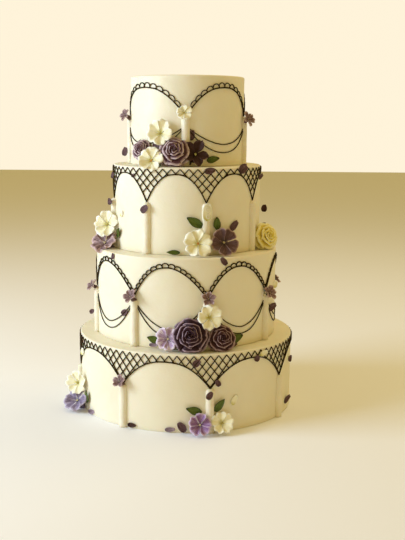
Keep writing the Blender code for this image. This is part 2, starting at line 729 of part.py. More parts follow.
# Build: the tiers with what is fused to them, then the leaves and flowers, cut clear of what they touch.
icing = material("icing", (0.86, 0.78, 0.64), 0.55)
petals = {
    "ivory": material("petal_ivory", (0.85, 0.76, 0.58), 0.6),
    "lilac": material("petal_lilac", (0.33, 0.20, 0.36), 0.6),
    "plum": material("petal_plum", (0.15, 0.05, 0.09), 0.6),
    "dark": material("petal_dark", (0.05, 0.018, 0.03), 0.6),
}
leaf_green = material("leaf_green", (0.05, 0.09, 0.03), 0.6)

for tier, node in enumerate(TIER_NODES):
    body = tier_body(node, tier, cake)
    body.data.materials.append(icing)
    fused = bpy.data.collections.new("fused_" + node)
    bpy.context.scene.collection.children.link(fused)
    tier_columns("columns", tier, 0.0, fused)
    loose_petals("petals", tier, fused)
    combine(body, fused, "UNION", "MANIFOLD")
    for leftover in list(fused.objects):
        bpy.data.objects.remove(leftover, do_unlink=True)
    bpy.data.collections.remove(fused)
    keep_largest(body)

bare = []
piped = []
for tier in range(len(TIER_NODES)):
    bare.append(clear_shape("bare_%d" % tier, tier, GAP))
    piped.append(clear_shape("piped_%d" % tier, tier, LINE_RISE + GAP))

placed = []
random_source = random.Random(7)
for node, kind, colour, tier, azimuth, height, diameter, stand, lift, turn in FLOWERS:
    bm = flower_body(kind, diameter, stand + 0.006, random_source)
    bmesh.ops.transform(bm, matrix=flower_matrix(tier, azimuth, height, stand, lift, turn), verts=bm.verts)
    if tier == 0:
        level_foot(bm)
    flower = from_bmesh(node, bm, cake)
    over_lines = tier in SWAG_TIERS or kind == "posy"
    cut_with(flower, piped[tier] if over_lines else bare[tier], "MANIFOLD")
    if tier > 0 and kind != "posy":
        cut_with(flower, piped[tier - 1], "MANIFOLD")
    for other in placed:
        centre = sum((Vector(corner) for corner in flower.bound_box), Vector()) / 8.0
        near = sum((Vector(corner) for corner in other.bound_box), Vector()) / 8.0
        if (centre - near).length < 0.06:
            bigger = swollen(other, GAP, "bigger")
            cut_with(flower, bigger, "MANIFOLD")
            bpy.data.objects.remove(bigger, do_unlink=True)
    keep_largest(flower)
    flower.data.materials.clear()
    flower.data.materials.append(petals[colour])
    placed.append(flower)

for node, tier, azimuth, height, length, width, heading in LEAVES:
    leaf = from_bmesh(node, leaf_body(tier, azimuth, height, length, width, heading), cake)
    cut_with(leaf, bare[tier], "MANIFOLD")
    for other in placed:
        centre = sum((Vector(corner) for corner in leaf.bound_box), Vector()) / 8.0
        near = sum((Vector(corner) for corner in other.bound_box), Vector()) / 8.0
        if (centre - near).length < 0.05:
            bigger = swollen(other, GAP, "bigger")
            cut_with(leaf, bigger, "MANIFOLD")
            bpy.data.objects.remove(bigger, do_unlink=True)
    keep_largest(leaf)
    leaf.data.materials.clear()
    leaf.data.materials.append(leaf_green)
    placed.append(leaf)

for leftover in bare + piped:
    bpy.data.objects.remove(leftover, do_unlink=True)
for thing in cake.objects:
    for face in thing.data.polygons:
        face.use_smooth = True
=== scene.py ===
"""Looks of the tiered wedding cake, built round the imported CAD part."""

import math
import random

import bmesh
import bpy
from mathutils import Matrix, Vector, noise


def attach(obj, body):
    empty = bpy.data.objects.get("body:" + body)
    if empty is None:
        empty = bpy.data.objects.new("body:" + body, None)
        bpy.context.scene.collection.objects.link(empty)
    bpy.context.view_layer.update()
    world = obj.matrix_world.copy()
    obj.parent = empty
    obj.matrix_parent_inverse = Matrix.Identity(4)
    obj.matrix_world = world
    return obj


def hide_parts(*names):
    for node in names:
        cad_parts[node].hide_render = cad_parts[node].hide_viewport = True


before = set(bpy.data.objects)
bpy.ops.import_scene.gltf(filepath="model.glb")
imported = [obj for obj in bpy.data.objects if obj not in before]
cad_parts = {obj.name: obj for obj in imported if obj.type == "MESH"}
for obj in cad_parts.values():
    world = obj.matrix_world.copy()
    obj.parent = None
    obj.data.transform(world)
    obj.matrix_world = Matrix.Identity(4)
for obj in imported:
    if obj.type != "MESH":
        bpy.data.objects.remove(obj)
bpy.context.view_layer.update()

# The room: a plain pale floor, one big soft light from the left like a window, a weak one high behind the
# right side, and warm light from all round. The camera stands where the cake is looked at from.
CAMERA_PLACE = (0.0, -1.2899, 0.4204)
CAMERA_PITCH = 80.22
CAMERA_ROLL = 0.42
CAMERA_LENS = 58.14
CAMERA_SHIFT = 0.0301
ROOM_COLOUR = (1.0, 0.745, 0.275, 1.0)
ROOM_STRENGTH = 0.525
WALL_COLOUR = (1.0, 0.90, 0.70, 1.0)
WINDOW_PLACE = (-1.72, -0.51, 0.88)
WINDOW_AIM = (0.0, 0.0, 0.18)
WINDOW_SIZE = 1.1
WINDOW_POWER = 40.4
WINDOW_COLOUR = (0.650, 0.793, 1.0)
GLOW_PLACE = (0.78, 0.45, 1.75)
GLOW_AIM = (0.0, 0.0, 0.2)
GLOW_SIZE = 0.9
GLOW_POWER = 7.5
GLOW_COLOUR = (1.0, 0.88, 0.62)
FLOOR_COLOUR = (0.93, 0.94, 0.96, 1.0)
FLOOR_ROUGHNESS = 0.7
FLOOR_HALF = 6.0

camera_data = bpy.data.cameras.new("camera")
camera_data.lens = CAMERA_LENS
camera_data.sensor_width = 36.0
camera_data.shift_x = CAMERA_SHIFT
camera = bpy.data.objects.new("camera", camera_data)
bpy.context.scene.collection.objects.link(camera)
pitch = Matrix.Rotation(math.radians(CAMERA_PITCH), 4, "X")
roll = Matrix.Rotation(math.radians(CAMERA_ROLL), 4, "Z")
camera.matrix_world = Matrix.Translation(CAMERA_PLACE) @ pitch @ roll
bpy.context.scene.camera = camera

room = bpy.data.worlds.new("room")
room.use_nodes = True
warmth = room.node_tree.nodes["Background"]
warmth.inputs["Color"].default_value = ROOM_COLOUR
warmth.inputs["Strength"].default_value = ROOM_STRENGTH
backdrop = room.node_tree.nodes.new("ShaderNodeBackground")
backdrop.inputs["Color"].default_value = WALL_COLOUR
seen = room.node_tree.nodes.new("ShaderNodeLightPath")
either = room.node_tree.nodes.new("ShaderNodeMixShader")
room.node_tree.links.new(seen.outputs["Is Camera Ray"], either.inputs["Fac"])
room.node_tree.links.new(warmth.outputs["Background"], either.inputs[1])
room.node_tree.links.new(backdrop.outputs["Background"], either.inputs[2])
surface = room.node_tree.nodes["World Output"].inputs["Surface"]
room.node_tree.links.new(either.outputs["Shader"], surface)
bpy.context.scene.world = room
bpy.context.scene.view_settings.view_transform = "Standard"


def soft_light(name, place, aim, size, power, colour):
    data = bpy.data.lights.new(name, "AREA")
    data.size = size
    data.energy = power
    data.color = colour
    lamp = bpy.data.objects.new(name, data)
    lamp.location = place
    lamp.rotation_euler = (Vector(aim) - Vector(place)).to_track_quat("-Z", "Y").to_euler()
    bpy.context.scene.collection.objects.link(lamp)


soft_light("window", WINDOW_PLACE, WINDOW_AIM, WINDOW_SIZE, WINDOW_POWER, WINDOW_COLOUR)
soft_light("high_glow", GLOW_PLACE, GLOW_AIM, GLOW_SIZE, GLOW_POWER, GLOW_COLOUR)

floor_mesh = bmesh.new()
bmesh.ops.create_grid(floor_mesh, x_segments=1, y_segments=1, size=FLOOR_HALF)
floor_data = bpy.data.meshes.new("floor")
floor_mesh.to_mesh(floor_data)
floor_mesh.free()
floor = bpy.data.objects.new("floor", floor_data)
bpy.context.scene.collection.objects.link(floor)
floor_finish = bpy.data.materials.new("pale_floor")
floor_finish.use_nodes = True
floor_shader = floor_finish.node_tree.nodes["Principled BSDF"]
floor_shader.inputs["Base Color"].default_value = FLOOR_COLOUR
floor_shader.inputs["Roughness"].default_value = FLOOR_ROUGHNESS
floor_data.materials.append(floor_finish)


# The tiers: four round sponges, one on another, each spread with smooth ivory icing that was drawn round
# with a scraper. The top edge is a little rounded, and faint marks of the scraper and small pits are left.
TIERS = ("tier_bottom", "tier_second", "tier_third", "tier_top")
RADIUS = (0.1583, 0.1329, 0.1075, 0.0821)
FOOT = (0.0, 0.1102, 0.2364, 0.3566)
TOP = (0.1102, 0.2364, 0.3566, 0.4807)
JOINT = 0.0003
EDGE_RADIUS = 0.0025
FOOT_EDGE = 0.0008
WAVER = 0.0002
WAVER_SCALE = 22.0
WAVER_MARGIN = 0.004
ICING_LIGHT = (0.87, 0.81, 0.62, 1.0)
ICING_DEEP = (0.83, 0.765, 0.565, 1.0)


def wall_point(radius, azimuth, height):
    """A point by its distance from the axis and its azimuth: 0 faces the camera, 90 is to the right."""
    angle = math.radians(azimuth)
    return Vector((radius * math.sin(angle), -radius * math.cos(angle), height))


def add_part(target, part, matrix):
    """Puts a small bmesh into a larger one, at its place, and frees it."""
    bmesh.ops.transform(part, matrix=matrix, verts=part.verts)
    carried = bpy.data.meshes.new("carried")
    part.to_mesh(carried)
    part.free()
    target.from_mesh(carried)
    bpy.data.meshes.remove(carried)


def set_down(name, bm, finishes, nodes):
    """Makes a bmesh a finished piece that rides on the cake and stands for CAD nodes."""
    bmesh.ops.recalc_face_normals(bm, faces=bm.faces)
    for face in bm.faces:
        face.smooth = True
    mesh = bpy.data.meshes.new(name)
    bm.to_mesh(mesh)
    bm.free()
    piece = bpy.data.objects.new(name, mesh)
    bpy.context.scene.collection.objects.link(piece)
    for finish in finishes:
        mesh.materials.append(finish)
    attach(piece, "root")
    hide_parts(*nodes)
    return piece


class Finish:
    """A material on the Principled shader, with drifting colour and roughness and relief from noise."""

    def __init__(self, name, subsurface, glow=(1.0, 0.6, 0.3), depth=0.003):
        self.made = bpy.data.materials.new(name)
        self.made.use_nodes = True
        self.tree = self.made.node_tree
        self.shader = self.tree.nodes["Principled BSDF"]
        self.shader.inputs["Subsurface Weight"].default_value = subsurface
        self.shader.inputs["Subsurface Radius"].default_value = glow
        self.shader.inputs["Subsurface Scale"].default_value = depth
        self.place = self.tree.nodes.new("ShaderNodeTexCoord")

    def noise(self, scale, detail=3.0, source="Object", stretch=None):
        grain = self.tree.nodes.new("ShaderNodeTexNoise")
        grain.inputs["Scale"].default_value = scale
        grain.inputs["Detail"].default_value = detail
        socket = self.place.outputs[source]
        if stretch:
            mapping = self.tree.nodes.new("ShaderNodeMapping")
            mapping.inputs["Scale"].default_value = stretch
            self.tree.links.new(socket, mapping.inputs["Vector"])
            socket = mapping.outputs["Vector"]
        self.tree.links.new(socket, grain.inputs["Vector"])
        return grain.outputs["Fac"]

    def ramp(self, fac, stops):
        """A colour ramp of (position, colour) stops over a value."""
        ramp = self.tree.nodes.new("ShaderNodeValToRGB")
        while len(ramp.color_ramp.elements) < len(stops):
            ramp.color_ramp.elements.new(1.0)
        for element, (position, colour) in zip(ramp.color_ramp.elements, stops):
            element.position = position
            element.color = colour
        self.tree.links.new(fac, ramp.inputs["Fac"])
        return ramp.outputs["Color"]

    def mix(self, fac, first, second):
        mix = self.tree.nodes.new("ShaderNodeMix")
        mix.data_type = "RGBA"
        self.tree.links.new(fac, mix.inputs["Factor"])
        sockets = [socket for socket in mix.inputs if socket.type == "RGBA"]
        for socket, colour in zip(sockets, (first, second)):
            if isinstance(colour, tuple):
                socket.default_value = colour
            else:
                self.tree.links.new(colour, socket)
        return [socket for socket in mix.outputs if socket.type == "RGBA"][0]

    def span(self, fac, low, high, start=0.0, stop=1.0):
        span = self.tree.nodes.new("ShaderNodeMapRange")
        span.inputs["From Min"].default_value = start
        span.inputs["From Max"].default_value = stop
        span.inputs["To Min"].default_value = low
        span.inputs["To Max"].default_value = high
        self.tree.links.new(fac, span.inputs["Value"])
        return span.outputs["Result"]

    def colour(self, socket):
        self.tree.links.new(socket, self.shader.inputs["Base Color"])

    def roughness(self, scale, low, high):
        drifting = self.span(self.noise(scale, 2.0), low, high, 0.3, 0.7)
        self.tree.links.new(drifting, self.shader.inputs["Roughness"])

    def relief(self, grains):
        """Bumps one over another, each from a noise value and a depth."""
        previous = None
        for fac, depth in grains:
            bump = self.tree.nodes.new("ShaderNodeBump")
            bump.inputs["Distance"].default_value = depth
            self.tree.links.new(fac, bump.inputs["Height"])
            if previous:
                self.tree.links.new(previous.outputs["Normal"], bump.inputs["Normal"])
            previous = bump
        self.tree.links.new(previous.outputs["Normal"], self.shader.inputs["Normal"])


icing = Finish("ivory_icing", 0.2)
icing.colour(icing.ramp(icing.noise(14.0, 4.0), ((0.35, ICING_LIGHT), (0.65, ICING_DEEP))))
icing.roughness(60.0, 0.42, 0.62)
icing.relief((
    (icing.noise(30.0), 0.0012),
    (icing.noise(380.0), 0.00012),
    (icing.noise(1500.0), 0.00005),
))

WALL_RINGS = 16
EDGE_RINGS = 6
ROUND_STEPS = 180
TOP_RINGS = 5
for node, radius, foot, top in zip(TIERS, RADIUS, FOOT, TOP):
    bm = bmesh.new()
    low = foot + (JOINT if foot > 0.0 else 0.0)
    outline = [(0.0, low), (radius - FOOT_EDGE, low), (radius, low + FOOT_EDGE)]
    for ring in range(1, WALL_RINGS):
        outline.append((radius, low + (top - EDGE_RADIUS - low) * ring / WALL_RINGS))
    for ring in range(EDGE_RINGS + 1):
        turn = math.pi / 2.0 * ring / EDGE_RINGS
        across = radius - EDGE_RADIUS * (1.0 - math.cos(turn))
        outline.append((across, top - EDGE_RADIUS * (1.0 - math.sin(turn))))
    for ring in range(1, TOP_RINGS + 1):
        outline.append(((radius - EDGE_RADIUS) * (1.0 - ring / TOP_RINGS), top))
    chain = [bm.verts.new((across, 0.0, height)) for across, height in outline]
    edges = [bm.edges.new(pair) for pair in zip(chain, chain[1:])]
    bmesh.ops.spin(
        bm,
        geom=chain + edges,
        cent=(0.0, 0.0, 0.0),
        axis=(0.0, 0.0, 1.0),
        angle=math.tau,
        steps=ROUND_STEPS,
        use_merge=True,
    )
    bmesh.ops.remove_doubles(bm, verts=bm.verts, dist=0.000001)
    for vert in bm.verts:
        if foot + WAVER_MARGIN < vert.co.z < top - WAVER_MARGIN:
            side = Vector((vert.co.x, vert.co.y, 0.0)).normalized()
            vert.co += side * (noise.noise(vert.co * WAVER_SCALE) * WAVER - WAVER / 2.0)
    set_down("icing_" + node, bm, [icing.made], [node])


# The columns: half-round strips of the same icing, piped upright on the walls with a wide round tube and
# left with a blunt domed end. Each reaches from the ledge to the foot of two arches.
BAYS = (8, 8, 8, 4)
FIRST_COLUMN = (12.2, 12.7, 14.3, -1.5)
TOP_COLUMNS = (-1.5, 78.0, 173.0, 268.5)
COLUMN_TOP = (0.0620, 0.0665, 0.0720, 0.0690)
COLUMN_HALF = 0.00625
COLUMN_RISE = 0.0058
COLUMN_DOME = 0.0048
COLUMN_SEGMENTS = 28
COLUMN_CUTS = 14
COLUMN_SLIM = 0.97
COLUMN_WAVER = 0.05
COLUMN_WAVER_SCALE = 130.0
COLUMN_LIGHT = (0.87, 0.81, 0.64, 1.0)
COLUMN_DEEP = (0.81, 0.74, 0.55, 1.0)


def column_azimuths(tier):
    if BAYS[tier] == len(TOP_COLUMNS):
        return list(TOP_COLUMNS)
    return [FIRST_COLUMN[tier] + bay * 360.0 / BAYS[tier] for bay in range(BAYS[tier])]


piped_icing = Finish("piped_icing", 0.2)
piped_icing.colour(
    piped_icing.ramp(piped_icing.noise(70.0, 4.0), ((0.35, COLUMN_LIGHT), (0.65, COLUMN_DEEP)))
)
piped_icing.roughness(160.0, 0.42, 0.62)
piped_icing.relief(((piped_icing.noise(120.0), 0.0010), (piped_icing.noise(700.0), 0.0002)))

for tier, node in enumerate(TIERS):
    bm = bmesh.new()
    low = JOINT if tier else 0.0
    tall = COLUMN_TOP[tier] - low
    for azimuth in column_azimuths(tier):
        part = bmesh.new()
        bmesh.ops.create_cone(
            part, cap_ends=True, segments=COLUMN_SEGMENTS, radius1=1.0, radius2=1.0, depth=tall
        )
        bmesh.ops.scale(part, vec=(COLUMN_HALF, COLUMN_RISE, 1.0), verts=part.verts)
        rim = [edge for edge in part.edges if all(vert.co.z > 0.0 for vert in edge.verts)]
        bmesh.ops.bevel(
            part, geom=rim, offset=COLUMN_DOME, segments=6, profile=0.5, affect="EDGES", material=-1
        )
        upright = []
        for edge in part.edges:
            if abs(edge.verts[0].co.z - edge.verts[1].co.z) > tall / 2.0:
                upright.append(edge)
        bmesh.ops.subdivide_edges(part, edges=upright, cuts=COLUMN_CUTS)
        for vert in part.verts:
            if vert.co.z > -tall / 2.0 + 0.001:
                along = Vector((azimuth, tier, vert.co.z * COLUMN_WAVER_SCALE))
                thin = COLUMN_SLIM + COLUMN_WAVER * noise.noise(along)
                vert.co.x *= min(1.0, thin)
                vert.co.y *= min(1.0, thin)
        middle = wall_point(RADIUS[tier], azimuth, FOOT[tier] + low + tall / 2.0)
        add_part(bm, part, Matrix.Translation(middle) @ Matrix.Rotation(math.radians(azimuth), 4, "Z"))
    set_down("columns_" + node, bm, [piped_icing.made], [node])


# The piping: nets, arches, loops and swags of stiff dark brown icing, drawn on the walls through a fine
# round tube. The strands lie half sunk on the wall, cross over one another, and are a little uneven.
CROWN_DROP = (0.0110, 0.0132, 0.0094, 0.0166)
SPRING_DROP = (0.0485, 0.0562, 0.0479, 0.0570)
ARCH_POWER = (2.35, 2.1, 2.35, 2.4)
ARCH_LEAN = (0.0, 0.09, 0.0, 0.0)
NET_CELLS = {0: 11, 2: 7}
NET_TALL = {0: 0.0146, 2: 0.0130}
NET_TOP = 0.0022
SWAG_START = {1: 0.0648, 3: 0.0556}
SWAG_LOW = {1: (0.0278, 0.0180), 3: (0.0302, 0.0191)}
SWAG_POWER = (1.87, 2.15)
LOOPS = {1: 16, 3: 14}
LOOP_TALL = {1: 0.0062, 3: 0.0066}
LOOP_WAIST = {1: 0.34, 3: 0.10}
LOOP_WIDE = 0.54
STRAND = 0.00075
ARCH_LINE = 0.00092
LOOP_LINE = {1: 0.00088, 3: 0.00074}
SINK = 0.15
LINE_DRIFT = 0.0003
LOOP_STEP_OUT = 0.0003
ARCH_STEPS = 48
LOOP_STEPS = 14
PIPING_DARK = (0.018, 0.010, 0.001, 1.0)
PIPING_BROWN = (0.048, 0.028, 0.003, 1.0)

piping = Finish("dark_piping", 0.0)
piping.colour(piping.ramp(piping.noise(240.0), ((0.35, PIPING_DARK), (0.65, PIPING_BROWN))))
piping.roughness(300.0, 0.5, 0.7)
piping.shader.inputs["Specular IOR Level"].default_value = 0.08
piping.relief(((piping.noise(900.0), 0.0001),))


def bay_width(tier):
    return math.tau * RADIUS[tier] / BAYS[tier]


def arch_height(tier, x):
    """Height of the arch's line above the tier's foot, x along the wall from a column."""
    wide = bay_width(tier)
    share = 2.0 * (x % wide) / wide - 1.0
    share = abs(share + ARCH_LEAN[tier] * (1.0 - share * share))
    rise = SPRING_DROP[tier] - CROWN_DROP[tier]
    return TOP[tier] - FOOT[tier] - CROWN_DROP[tier] - rise * share ** ARCH_POWER[tier]


def azimuth_along(tier, x):
    """Azimuth of a place x along the wall, each bay stretched to reach from its column to the next."""
    columns = column_azimuths(tier)
    bay, share = divmod(x / bay_width(tier), 1.0)
    start = columns[int(bay) % len(columns)]
    following = columns[(int(bay) + 1) % len(columns)]
    return start + (following - start) % 360.0 * share


def strand(curve, tier, flat, half, above=0.0):
    """One piped line through points (along the wall from the first column, height above the foot)."""
    line = curve.splines.new("POLY")
    line.points.add(len(flat) - 1)
    for number, (x, y) in enumerate(flat):
        azimuth = azimuth_along(tier, x)
        drift = noise.noise(Vector((x * 90.0, y * 90.0, tier * 7.0 + above)))
        out = RADIUS[tier] + half * (1.0 - SINK) + above
        centre = wall_point(out, azimuth, FOOT[tier] + y + drift * LINE_DRIFT)
        line.points[number].co = (*centre, 1.0)
        ends = 0.8 if number in (0, len(flat) - 1) else 1.0
        line.points[number].radius = half * ends * (1.0 + 0.16 * noise.noise(centre * 320.0))


def net_strands(curve, tier):
    """Two families of straight strands that slope down from peaks at the rim until they meet an arch."""
    half_wide = bay_width(tier) / NET_CELLS[tier] / 2.0
    half_tall = NET_TALL[tier] / 2.0
    peak = TOP[tier] - FOOT[tier] - NET_TOP
    steps = 3
    for number in range(NET_CELLS[tier] * BAYS[tier]):
        for way in (1.0, -1.0):
            flat = []
            share = 0.0
            while True:
                x = number * 2.0 * half_wide + way * share * half_wide
                y = peak - share * half_tall
                flat.append((x, y))
                if y < arch_height(tier, x):
                    break
                share += 1.0 / steps if y > arch_height(tier, x) + half_tall / steps else 0.05
            if len(flat) > 1:
                strand(curve, tier, flat, STRAND, STRAND * 0.5 if way < 0.0 else 0.0)


for tier, node in enumerate(TIERS):
    curve = bpy.data.curves.new("piping_" + node, "CURVE")
    curve.dimensions = "3D"
    curve.bevel_depth = 1.0
    curve.bevel_resolution = 1
    curve.use_fill_caps = True
    curve.twist_mode = "Z_UP"
    wide = bay_width(tier)
    if tier in NET_CELLS:
        net_strands(curve, tier)
    for bay in range(BAYS[tier]):
        arch = []
        for step in range(ARCH_STEPS + 1):
            x = wide * (bay + step / ARCH_STEPS)
            y = TOP[tier] - FOOT[tier] - SPRING_DROP[tier]
            if 0 < step < ARCH_STEPS:
                y = arch_height(tier, x)
            arch.append((x, y))
        strand(curve, tier, arch, ARCH_LINE)
        for low_point, power in zip(SWAG_LOW.get(tier, ()), SWAG_POWER):
            swag = []
            for step in range(1, ARCH_STEPS):
                share = abs(2.0 * step / ARCH_STEPS - 1.0)
                drop = (SWAG_START[tier] - low_point) * share ** power
                swag.append((wide * (bay + step / ARCH_STEPS), low_point + drop))
            strand(curve, tier, swag, STRAND)
        if tier in LOOPS:
            lengths = [0.0]
            for before, after in zip(arch, arch[1:]):
                lengths.append(lengths[-1] + math.dist(before, after))
            pitch_length = lengths[-1] / (LOOPS[tier] + 1.0)

            def on_arch(length):
                length = min(max(length, 0.0), lengths[-1])
                number = max(i for i, reached in enumerate(lengths) if reached <= length)
                number = min(number, len(arch) - 2)
                share = (length - lengths[number]) / (lengths[number + 1] - lengths[number])
                along = Vector(arch[number + 1]) - Vector(arch[number])
                return Vector(arch[number]) + along * share, along.normalized()

            for loop in range(LOOPS[tier]):
                start = pitch_length * (loop + 0.5)
                centre, along = on_arch(start + pitch_length / 2.0)
                upward = Vector((-along.y, along.x))
                slope = min(1.0, abs(along.y) * 1.1)
                tall = LOOP_TALL[tier] * (1.0 - 0.35 * slope)
                waist = LOOP_WAIST[tier]
                foot_turn = math.asin(-0.92 * waist / (1.0 - waist))
                flat = []
                for step in range(LOOP_STEPS + 1):
                    turn = foot_turn + (math.pi - 2.0 * foot_turn) * step / LOOP_STEPS
                    across = along * (math.cos(turn) * pitch_length * LOOP_WIDE)
                    rise = tall * (waist + (1.0 - waist) * math.sin(turn))
                    flat.append(tuple(centre + across + upward * rise))
                strand(curve, tier, flat, LOOP_LINE[tier], LOOP_STEP_OUT * (loop % 2))
    piece = bpy.data.objects.new("piping_" + node, curve)
    curve.materials.append(piping.made)
    bpy.context.scene.collection.objects.link(piece)
    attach(piece, "root")
    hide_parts(node)


# Loose petals: single petals of sugar paste pressed on the walls and ledges while the icing was soft.
# They are thin ovals, a little cupped, most of them dark plum and a few ivory.

# Each petal: tier, azimuth, height of its middle above the tier's foot, length, width, heading up the wall
# and turn away from it in degrees, and its finish. The second table's lie on columns.
PETALS = (
    (3, 4.2, 0.0430, 0.0140, 0.0085, 10, 0, "plum"),
    (3, -51.0, 0.0075, 0.0140, 0.0080, -60, 10, "plum"),
    (3, -53.0, 0.0300, 0.0120, 0.0080, 40, 20, "plum"),
    (2, 16.5, 0.1160, 0.0150, 0.0090, 80, 0, "plum"),
    (2, 45.5, 0.1180, 0.0150, 0.0130, 60, -10, "plum"),
    (2, 77.0, 0.1040, 0.0110, 0.0065, 60, -30, "plum"),
    (2, -43.2, 0.1075, 0.0080, 0.0045, 70, 0, "plum"),
    (2, -80.0, 0.1040, 0.0090, 0.0060, 20, 30, "plum"),
    (2, 37.5, 0.0395, 0.0165, 0.0105, 48, 0, "plum"),
    (2, -58.5, 0.0520, 0.0090, 0.0070, 30, 0, "ivory"),
    (2, 118.0, 0.0300, 0.0120, 0.0080, 40, 0, "plum"),
    (1, 22.4, 0.1215, 0.0130, 0.0075, -40, 0, "plum"),
    (1, -50.0, 0.1215, 0.0085, 0.0050, 10, 10, "plum"),
    (1, -39.8, 0.0450, 0.0120, 0.0085, 60, 0, "plum"),
    (1, 67.0, 0.0440, 0.0160, 0.0110, 65, -30, "plum"),
    (1, 74.0, 0.0745, 0.0105, 0.0085, 20, -40, "ivory"),
    (1, -19.3, 0.0050, 0.0125, 0.0060, 86, 0, "lilac"),
    (0, 5.3, 0.0985, 0.0120, 0.0095, 50, 0, "plum"),
    (0, 38.0, 0.0970, 0.0090, 0.0085, 20, -15, "plum"),
    (0, 42.6, 0.1025, 0.0140, 0.0080, 75, -10, "ivory"),
    (0, 16.0, 0.0695, 0.0100, 0.0075, -30, 0, "plum"),
    (0, 73.0, 0.0757, 0.0095, 0.0070, 10, -35, "plum"),
    (0, -1.6, 0.0090, 0.0160, 0.0105, -35, 0, "plum"),
    (0, -7.4, 0.0050, 0.0140, 0.0070, 84, 0, "lilac"),
    (0, -27.5, 0.0050, 0.0130, 0.0070, 86, 0, "dark"),
    (0, -57.5, 0.0050, 0.0110, 0.0070, 80, 20, "lilac"),
    (0, -70.0, 0.0860, 0.0115, 0.0080, 20, 20, "ivory"),
    (0, 68.4, 0.0175, 0.0150, 0.0085, 55, -25, "plum"),
    (0, 24.9, 0.0430, 0.0150, 0.0085, 30, 0, "ivory"),
    (1, 11.6, 0.0060, 0.0150, 0.0110, 70, 0, "dark"),
    (1, -7.6, 0.0050, 0.0140, 0.0090, 80, 0, "dark"),
    (1, 29.6, 0.0040, 0.0120, 0.0070, 84, 0, "plum"),
    (3, 2.0, 0.0110, 0.0150, 0.0100, 10, 0, "dark"),
    (3, -14.5, 0.0045, 0.0150, 0.0085, 80, 0, "plum"),
    (3, -29.0, 0.0310, 0.0170, 0.0100, 62, 0, "plum"),
    (3, -1.5, 0.0045, 0.0150, 0.0085, 80, 0, "dark"),
)
COLUMN_PETALS = (
    (3, -84.0, 0.0175, 0.0125, 0.0090, 15, 60, "plum"),
    (2, 14.3, 0.0600, 0.0240, 0.0130, 5, 0, "ivory"),
    (2, -30.7, 0.0630, 0.0130, 0.0095, 50, 0, "plum"),
    (2, -73.5, 0.0670, 0.0090, 0.0085, 0, 30, "plum"),
    (2, 98.0, 0.0540, 0.0105, 0.0100, 0, -70, "dark"),
    (2, 98.0, 0.0270, 0.0105, 0.0100, 0, -70, "dark"),
    (1, -80.5, 0.0290, 0.0100, 0.0070, 60, 45, "plum"),
    (0, 11.4, 0.0545, 0.0120, 0.0090, 30, 0, "plum"),
)
PETAL_THICK = 0.0005
LOOSE_GRID = (8, 10)
LOOSE_SEED = 5
FLARE = 0.7
# Tones of a petal: throat, body, rim and streaks.
IVORY = ((0.62, 0.56, 0.13), (0.93, 0.87, 0.60), (0.95, 0.93, 0.82), (0.80, 0.72, 0.34))
DUSKY = ((0.08, 0.045, 0.06), (0.18, 0.115, 0.14), (0.42, 0.33, 0.38), (0.50, 0.40, 0.44))
WINE = ((0.050, 0.020, 0.021), (0.080, 0.035, 0.037), (0.15, 0.085, 0.088), (0.29, 0.195, 0.20))
DARK = ((0.018, 0.006, 0.004), (0.043, 0.017, 0.011), (0.10, 0.052, 0.042), (0.075, 0.034, 0.026))


def wall_frame(azimuth, origin):
    """A frame on the wall: X sideways, Y up the wall, Z outward."""
    angle = math.radians(azimuth)
    return Matrix((
        (math.cos(angle), 0.0, math.sin(angle), origin.x),
        (math.sin(angle), 0.0, -math.cos(angle), origin.y),
        (0.0, 1.0, 0.0, origin.z),
        (0.0, 0.0, 0.0, 1.0),
    ))


def petal(target, shape, across, along, thick=PETAL_THICK, finish=0):
    """A thin petal: a grid bent by shape(u, v), u from -1 to 1 across it and v from base to tip."""
    part = bmesh.new()
    bmesh.ops.create_grid(part, x_segments=across, y_segments=along, size=1.0)
    layer = part.loops.layers.uv.new("petal")
    for face in part.faces:
        face.material_index = finish
        for loop in face.loops:
            loop[layer].uv = (loop.vert.co.x * 0.5 + 0.5, loop.vert.co.y * 0.5 + 0.5)
    for vert in part.verts:
        vert.co = shape(vert.co.x, vert.co.y * 0.5 + 0.5)
    bmesh.ops.recalc_face_normals(part, faces=part.faces)
    bmesh.ops.solidify(part, geom=part.faces[:], thickness=thick)
    add_part(target, part, Matrix())


